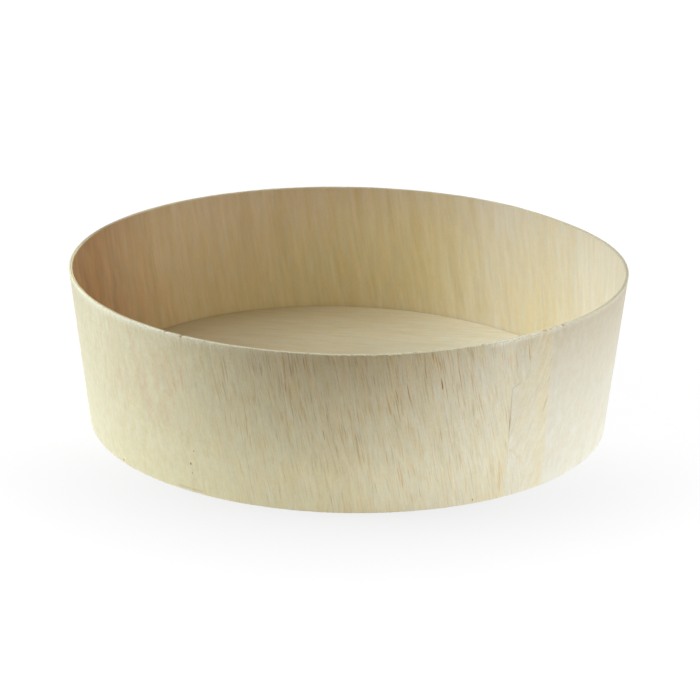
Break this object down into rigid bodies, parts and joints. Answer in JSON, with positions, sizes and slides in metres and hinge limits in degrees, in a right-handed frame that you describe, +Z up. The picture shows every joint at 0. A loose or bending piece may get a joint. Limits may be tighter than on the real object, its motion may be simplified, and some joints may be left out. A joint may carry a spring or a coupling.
{
  "type": "food tray",
  "caption": "Round open food tray: a tapered wall of glued veneer strips around a recessed plywood floor disc.",
  "frame": {"origin": "bottom centre of the bounding box, on the plane that the tray stands on; the round base's own axis is half a millimetre away, because the rim is slightly dented", "axes": "+Z up from the table to the rim, -Y towards the front, +X to the right seen from the front; the outer strip's lap is at the front right"},
  "size_m": [0.1743, 0.1742, 0.05],
  "materials": {
    "outer_veneer": "raw peeled poplar, fine open grain",
    "inner_veneer": "raw peeled poplar, smooth face",
    "floor_veneer": "raw peeled poplar, smooth face",
    "glue": "satin, slightly cloudy"
  },
  "bodies": {
    "root": {"outer_wall_veneer": "outer_veneer", "inner_wall_veneer": "inner_veneer", "floor_face_veneer": "floor_veneer", "floor_cross_veneer": "floor_veneer", "floor_back_veneer": "floor_veneer", "floor_glue_bead": "glue"}
  },
  "joints": []
}
